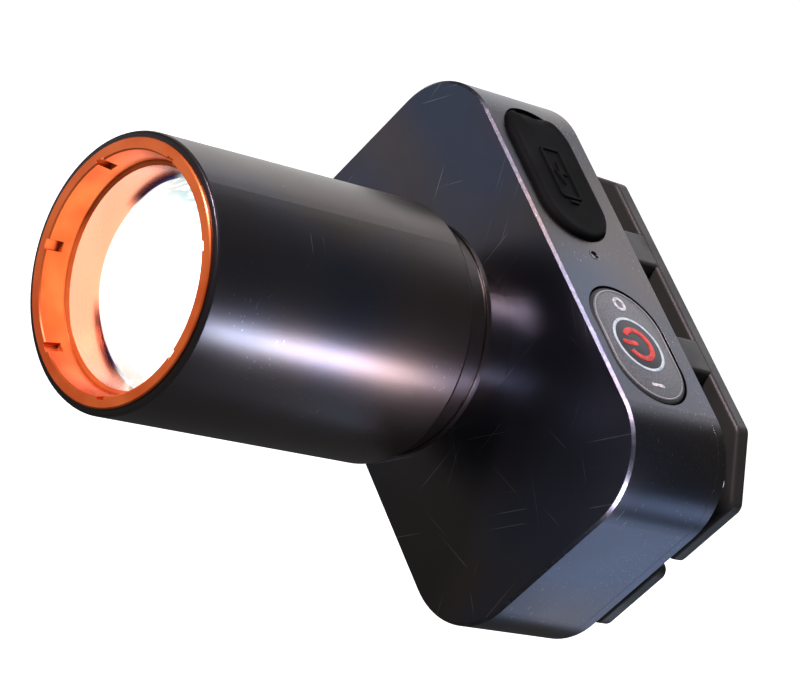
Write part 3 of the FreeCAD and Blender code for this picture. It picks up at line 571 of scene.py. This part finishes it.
disc = Finish("smoked_disc", Coat_Weight=0.2, Coat_Roughness=0.4, Specular_IOR_Level=0.3)
haze = disc.noise(1.1 * MM, detail=3.0)
disc_finish = disc.feed(Base_Color=disc.blend(haze, (0.030, 0.038, 0.044, 1), (0.075, 0.085, 0.092, 1)),
                        Roughness=haze * 0.2 + 0.42)
disc_mesh = raised(oval_outline(DISC_RADIUS, DISC_RADIUS), PRINT_RISE / 2, 0.01 * MM, FILM_TOP)
add_piece("button_disc", disc_mesh, disc_finish, "button")

white_ink = ink("white_ink", (0.30, 0.34, 0.38, 1), (0.78, 0.82, 0.85, 1), 0.5 * MM, 0.25, roughness=0.5)
pale_ink = ink("pale_blue_ink", (0.30, 0.48, 0.56, 1), (0.66, 0.78, 0.84, 1), 0.9 * MM)
red_ink = ink("red_ink", (0.34, 0.020, 0.022, 1), (0.80, 0.055, 0.045, 1), 0.8 * MM, fresh_above=0.65)
TO_MARK = Vector((MARK_REACH, 0, 0))
for name, outline, at, finish in (
        ("button_ring", arc_band(RING_INNER, RING_OUTER), FILM_TOP, pale_ink),
        ("power_arc", arc_band(SIGN_INNER, SIGN_OUTER, SIGN_TOWARDS + SIGN_GAP / 2, FULL_TURN - SIGN_GAP, 48),
         DISC_TOP, red_ink),
        ("power_bar", bar(SIGN_BAR_LENGTH, SIGN_BAR_WIDTH), DISC_TOP - Vector((0, SIGN_BAR_REACH, 0)),
         red_ink),
        ("mark_off", arc_band(MARK_OFF_INNER, MARK_OFF_OUTER, steps=40), FILM_TOP - TO_MARK, white_ink),
        ("mark_on", bar(MARK_ON_LENGTH, MARK_ON_WIDTH), FILM_TOP + TO_MARK, white_ink)):
    add_piece(name, raised(outline, PRINT_RISE, PRINT_EASE, at), finish, "button")


# ---- Port cover ----
# A soft black rubber lid, pressed into the recess over the charging socket. A plug below it seals the
# hole, a hollow at the far end takes a fingernail, and a battery sign stands up from its top.
lid_low, lid_high = (Vector(corner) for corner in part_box("port_cover"))
LID_EASE = 0.55 * MM
LID_DISH = 0.04 * MM
LID_STEPS = ((0.35 * MM, 0.0), (0.30 * MM, LID_DISH), (0.9 * MM, 0.0), (0.9 * MM, 0.0), (0.9 * MM, 0.0))
PLUG_DEPTH = 0.9 * MM
PLUG_HALF_LENGTH = 4.3 * MM
PLUG_HALF_WIDTH = 1.3 * MM
PLUG_EASE = 0.25 * MM
PLUG_OVERLAP = 0.02 * MM
NAIL_REACH = 2.1 * MM
NAIL_DEPTH = 1.1 * MM
NAIL_WIDTH = 0.75
NAIL_END_SLOPE = 1.6
NAIL_SIDE_SLOPE = 1.8
CELL_HALF = (4.2 * MM, 1.9 * MM)
CELL_CORNER = 0.7 * MM
CELL_LINE = 0.45 * MM
NUB_LENGTH = 1.5 * MM
NUB_WIDTH = 0.5 * MM
NUB_REACH = 4.75 * MM
CELL_SHIFT = 0.6 * MM
CELL_SUNK = 0.01 * MM
CELL_RISE = 0.22 * MM
BOLT = ((-1.9, 0.05), (0.35, 1.0), (0.15, 0.2), (1.9, -0.05), (-0.35, -1.0), (-0.15, -0.2))
lid_floor = lid_low.z + PLUG_DEPTH
lid_height = lid_high.z - lid_floor
lid_half = (lid_high - lid_low) / 2
lid_middle = Vector(((lid_low.x + lid_high.x) / 2, (lid_low.y + lid_high.y) / 2, lid_floor))

lid_mesh = raised(oval_outline(lid_half.x, lid_half.y), lid_height, LID_EASE, steps=5)
for width, sink in LID_STEPS:
    upper = [face for face in lid_mesh.faces if face.normal.z > 0.9]
    bmesh.ops.inset_region(lid_mesh, faces=[max(upper, key=lambda face: face.calc_area())],
                           thickness=width, depth=-sink, use_even_offset=True)
for vert in lid_mesh.verts:
    near = 1 - (vert.co.x + lid_half.x) / NAIL_REACH
    if near > 0 and vert.co.z > lid_height / 2:
        side = max(0.0, 1 - abs(vert.co.y) / (lid_half.y * NAIL_WIDTH))
        vert.co.z -= NAIL_DEPTH * min(1.0, near * NAIL_END_SLOPE) * min(1.0, side * NAIL_SIDE_SLOPE)
plug_mesh = raised(oval_outline(PLUG_HALF_LENGTH, PLUG_HALF_WIDTH, segments=48), -PLUG_DEPTH, PLUG_EASE,
                   up(PLUG_OVERLAP))
plug_copy = bpy.data.meshes.new("plug")
plug_mesh.to_mesh(plug_copy)
plug_mesh.free()
lid_mesh.from_mesh(plug_copy)
bpy.data.meshes.remove(plug_copy)
bmesh.ops.recalc_face_normals(lid_mesh, faces=lid_mesh.faces)
bmesh.ops.translate(lid_mesh, verts=lid_mesh.verts, vec=lid_middle)
lid_rubber = moulded("lid_rubber", (0.0038, 0.0042, 0.0046), (0.0075, 0.0080, 0.0085), 0.70,
                     grain_size=0.25 * MM, grain_depth=0.02 * MM, Specular_IOR_Level=0.08)
port_lid = add_piece("port_lid", lid_mesh, lid_rubber, "port_cover", smooth=40)
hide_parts("port_cover")

LID_FACE = lid_middle + Vector((CELL_SHIFT, 0, lid_height - LID_DISH - CELL_SUNK))
cell_mesh = bmesh.new()
bmesh.ops.create_grid(cell_mesh, x_segments=1, y_segments=1, size=1.0,
                      matrix=Matrix.Diagonal((*CELL_HALF, 1, 1)))
bmesh.ops.bevel(cell_mesh, geom=list(cell_mesh.verts), offset=CELL_CORNER, offset_type="OFFSET", segments=4,
                profile=0.5, affect="VERTICES", material=-1)
add_piece("lid_cell", raised(hollowed(cell_mesh, CELL_LINE), CELL_RISE, 0.06 * MM, LID_FACE), lid_rubber,
          "port_cover", smooth=50)
nub_mesh = raised(bar(NUB_LENGTH, NUB_WIDTH), CELL_RISE, 0.06 * MM, LID_FACE + Vector((NUB_REACH, 0, 0)))
add_piece("lid_cell_nub", nub_mesh, lid_rubber, "port_cover")
bolt_mesh = bmesh.new()
bolt_mesh.faces.new([bolt_mesh.verts.new((x * MM, y * MM, 0)) for x, y in BOLT])
add_piece("lid_bolt", raised(bolt_mesh, CELL_RISE, 0.05 * MM, LID_FACE), lid_rubber, "port_cover")
wear(black_rubber, "tether_anchor")


# ---- Rim of the charge light's hole ----
# The small hole in the control face is countersunk after anodising, which leaves a bright ring of
# metal round the end of the smoked rod.
HOLE_RIM_INNER = 0.60 * MM
HOLE_RIM_OUTER = 0.80 * MM
HOLE_RIM_RISE = 0.03 * MM
light_top = Vector((middle("light_pipe").x, middle("light_pipe").y, BUTTON_TOP.z))
hole_rim = Finish("countersunk_rim", Metallic=1.0)
rim_marks = hole_rim.noise(0.2 * MM, detail=3.0)
rim_finish = hole_rim.feed(
    Base_Color=cloudy(hole_rim, (0.14, 0.145, 0.16), (0.24, 0.245, 0.26), 0.4 * MM),
    Roughness=rim_marks * 0.2 + 0.25)
rim_outline = arc_band(HOLE_RIM_INNER, HOLE_RIM_OUTER, steps=40)
add_piece("light_rim", raised(rim_outline, HOLE_RIM_RISE, 0.02 * MM, light_top), rim_finish, "lamp")


# ---- Stem and its fastenings ----
# One piece of turned aluminium: a threaded tail held by a steel nut inside the housing, a neck, and
# the collar that the barrel slides on. Rubber rings seal its neck, the collar and the lens, and an
# open clip stops the barrel.
wear(anodised("anodised_stem", blue=0.3, roughness=0.30, scratched=0.1, lathe_marks=1.2), "stem")
wear(moulded("seal_rubber", (0.006, 0.006, 0.006), (0.013, 0.013, 0.013), 0.40, grain_depth=0.006 * MM),
     "neck_seal", "slide_seal", "lens_seal")
wear(bright_metal("zinc_plate", (0.60, 0.61, 0.60), 0.30), "lock_nut", "led_screws")
wear(bright_metal("spring_steel", (0.30, 0.30, 0.31), 0.28, stretch=(1, 8, 1)), "stop_clip")


# ---- Light source ----
# A bare aluminium disc, screwed to the stem's front, carries a yellow emitter in a white spacer. A red
# and a black lead come to it through the stem.
wear(bright_metal("bare_aluminium", (0.78, 0.78, 0.77), 0.34), "led_board")
wear(moulded("white_plastic", (0.70, 0.70, 0.68), (0.82, 0.82, 0.80), 0.42), "emitter_spacer")
LEAD_BLACK = (0.012, 0.012, 0.013, 1)
LEAD_RED = (0.40, 0.020, 0.018, 1)
phosphor = Finish("phosphor", Roughness=0.35, Coat_Weight=1.0, Emission_Strength=3.0)
wear(phosphor.feed(
    Base_Color=cloudy(phosphor, (0.78, 0.62, 0.12), (0.90, 0.78, 0.25), 0.8 * MM),
    Emission_Color=cloudy(phosphor, (1.0, 0.92, 0.75), (1.0, 0.97, 0.88), 1.5 * MM)), "led_emitter")
lead = Finish("lead_insulation")
lead_side = lead.split(lead.place())[0].rises(-0.2 * MM, 0.2 * MM)
wear(lead.feed(Base_Color=lead.blend(lead_side, LEAD_BLACK, LEAD_RED),
               Roughness=lead.noise(0.8 * MM) * 0.15 + 0.35), "lamp_wires")


# ---- Barrel ----
# A plain aluminium tube, turned, blasted and anodised like the housing. It slides on the stem's collar
# to focus the beam, and its two end edges are eased.
wear(anodised("anodised_barrel", blue=0.32, scratched=0.2, lathe_marks=0.6), "barrel")


# ---- Lens ----
# A thick plano-convex lens of clear glass, lit from behind, so it is almost white: the light coming through
# it is painted on as a glow.
# The painted glow turns cyan in wisps towards two sides, and thin navy crescents at the edge are painted
# shade for the dark seat seen through the glass.
lens_low, lens_high = (Vector(corner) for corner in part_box("lens"))
LENS_RADIUS = (lens_high.x - lens_low.x) / 2
THROAT_SEEN = 0.885
LENS_GLOW = 1.8
LIT_WHITE = (1.0, 1.0, 1.0, 1)
PAINTED_CYAN_GLOW = (0.10, 0.32, 0.34, 1)
PAINTED_SEAT_NAVY = (0.010, 0.010, 0.040, 1)
GLASS_PALE = (0.70, 0.76, 0.80, 1)
PAINTED_SEAT_DARK = (0.03, 0.03, 0.08, 1)
glass = Finish("lit_lens", Roughness=0.06, Coat_Weight=1.0, Coat_Roughness=0.02, Emission_Strength=LENS_GLOW)
x, _, z, reach = from_axis(glass)
outwards = reach / (LENS_RADIUS * THROAT_SEEN)


def about(angle, low, high):
    """1 on the lens towards this angle, in degrees from +X to +Z, and 0 away from it."""
    way = math.radians(angle)
    return ((x * math.cos(way) + z * math.sin(way)) / reach).rises(low, high)


wisps = glass.noise(2.4 * MM, detail=3.0, rough=0.6, at=glass.turned_to(scale=(1, 1, 2.0)), swirl=1.2)
# Painted light: cyan mixed into the lens's glow, in wisps towards two sides.
cyan_glow_sides = (about(125, 0.82, 0.96) + about(308, 0.86, 0.97)).maths("MINIMUM", 1.0)
tint = outwards.rises(0.55, 0.85) * cyan_glow_sides * wisps.rises(0.34, 0.50)
# Painted shade: thin navy crescents at the lens's edge on two sides, where the dark seat would show through
# the glass.
painted_seat_sides = (about(165, 0.90, 0.98) + about(264, 0.88, 0.98)).maths("MINIMUM", 1.0)
painted_seat_crescents = outwards.rises(0.950, 0.972) * painted_seat_sides
white_light = glass.blend(tint * 0.85, LIT_WHITE, PAINTED_CYAN_GLOW)
wear(glass.feed(Base_Color=glass.blend(painted_seat_crescents, GLASS_PALE, PAINTED_SEAT_DARK),
                Emission_Color=glass.blend(painted_seat_crescents, white_light, PAINTED_SEAT_NAVY)), "lens")


# ---- Lens ring ----
# A threaded aluminium ring, anodised orange, holds the lens on its seal. A pin spanner turns it by the
# notches in its lip. Fine lathe marks run round its wall.
ORANGE_DEEP = (0.57, 0.088, 0.011, 1)
ORANGE_PALE = (0.70, 0.160, 0.032, 1)
PAINTED_GLOW_PEACH = (0.80, 0.29, 0.17, 1)
THROAT_DEPTH = 3.3 * MM
THROAT_BLUR = 0.1 * MM
THROAT_FROM = Vector(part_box("lens_ring")[0]).y + THROAT_DEPTH
orange = Finish("orange_anodising", Coat_Weight=0.15, Coat_Roughness=0.2)
rings = turning(orange, 0.30 * MM)
lip = orange.facing()[1].rises(-0.6, -0.8)
# Painted light: deeper in, past THROAT_FROM, the ring is painted a paler peach for the lit lens's glow on it,
# and is a little smoother there.
glowing_throat = orange.split(orange.place())[1].rises(THROAT_FROM - THROAT_BLUR, THROAT_FROM + THROAT_BLUR)
wall = orange.blend(orange.noise(6 * MM).rises(0.3, 0.7), ORANGE_DEEP, ORANGE_PALE)
wear(orange.feed(
    Base_Color=orange.blend(glowing_throat * (1 - lip), wall, PAINTED_GLOW_PEACH),
    Metallic=0.9 - lip * 0.75,
    Roughness=rings * 0.14 + 0.28 - glowing_throat * 0.08,
    Normal=orange.grain(rings, 0.008 * MM, orange.edges(0.12 * MM))), "lens_ring")
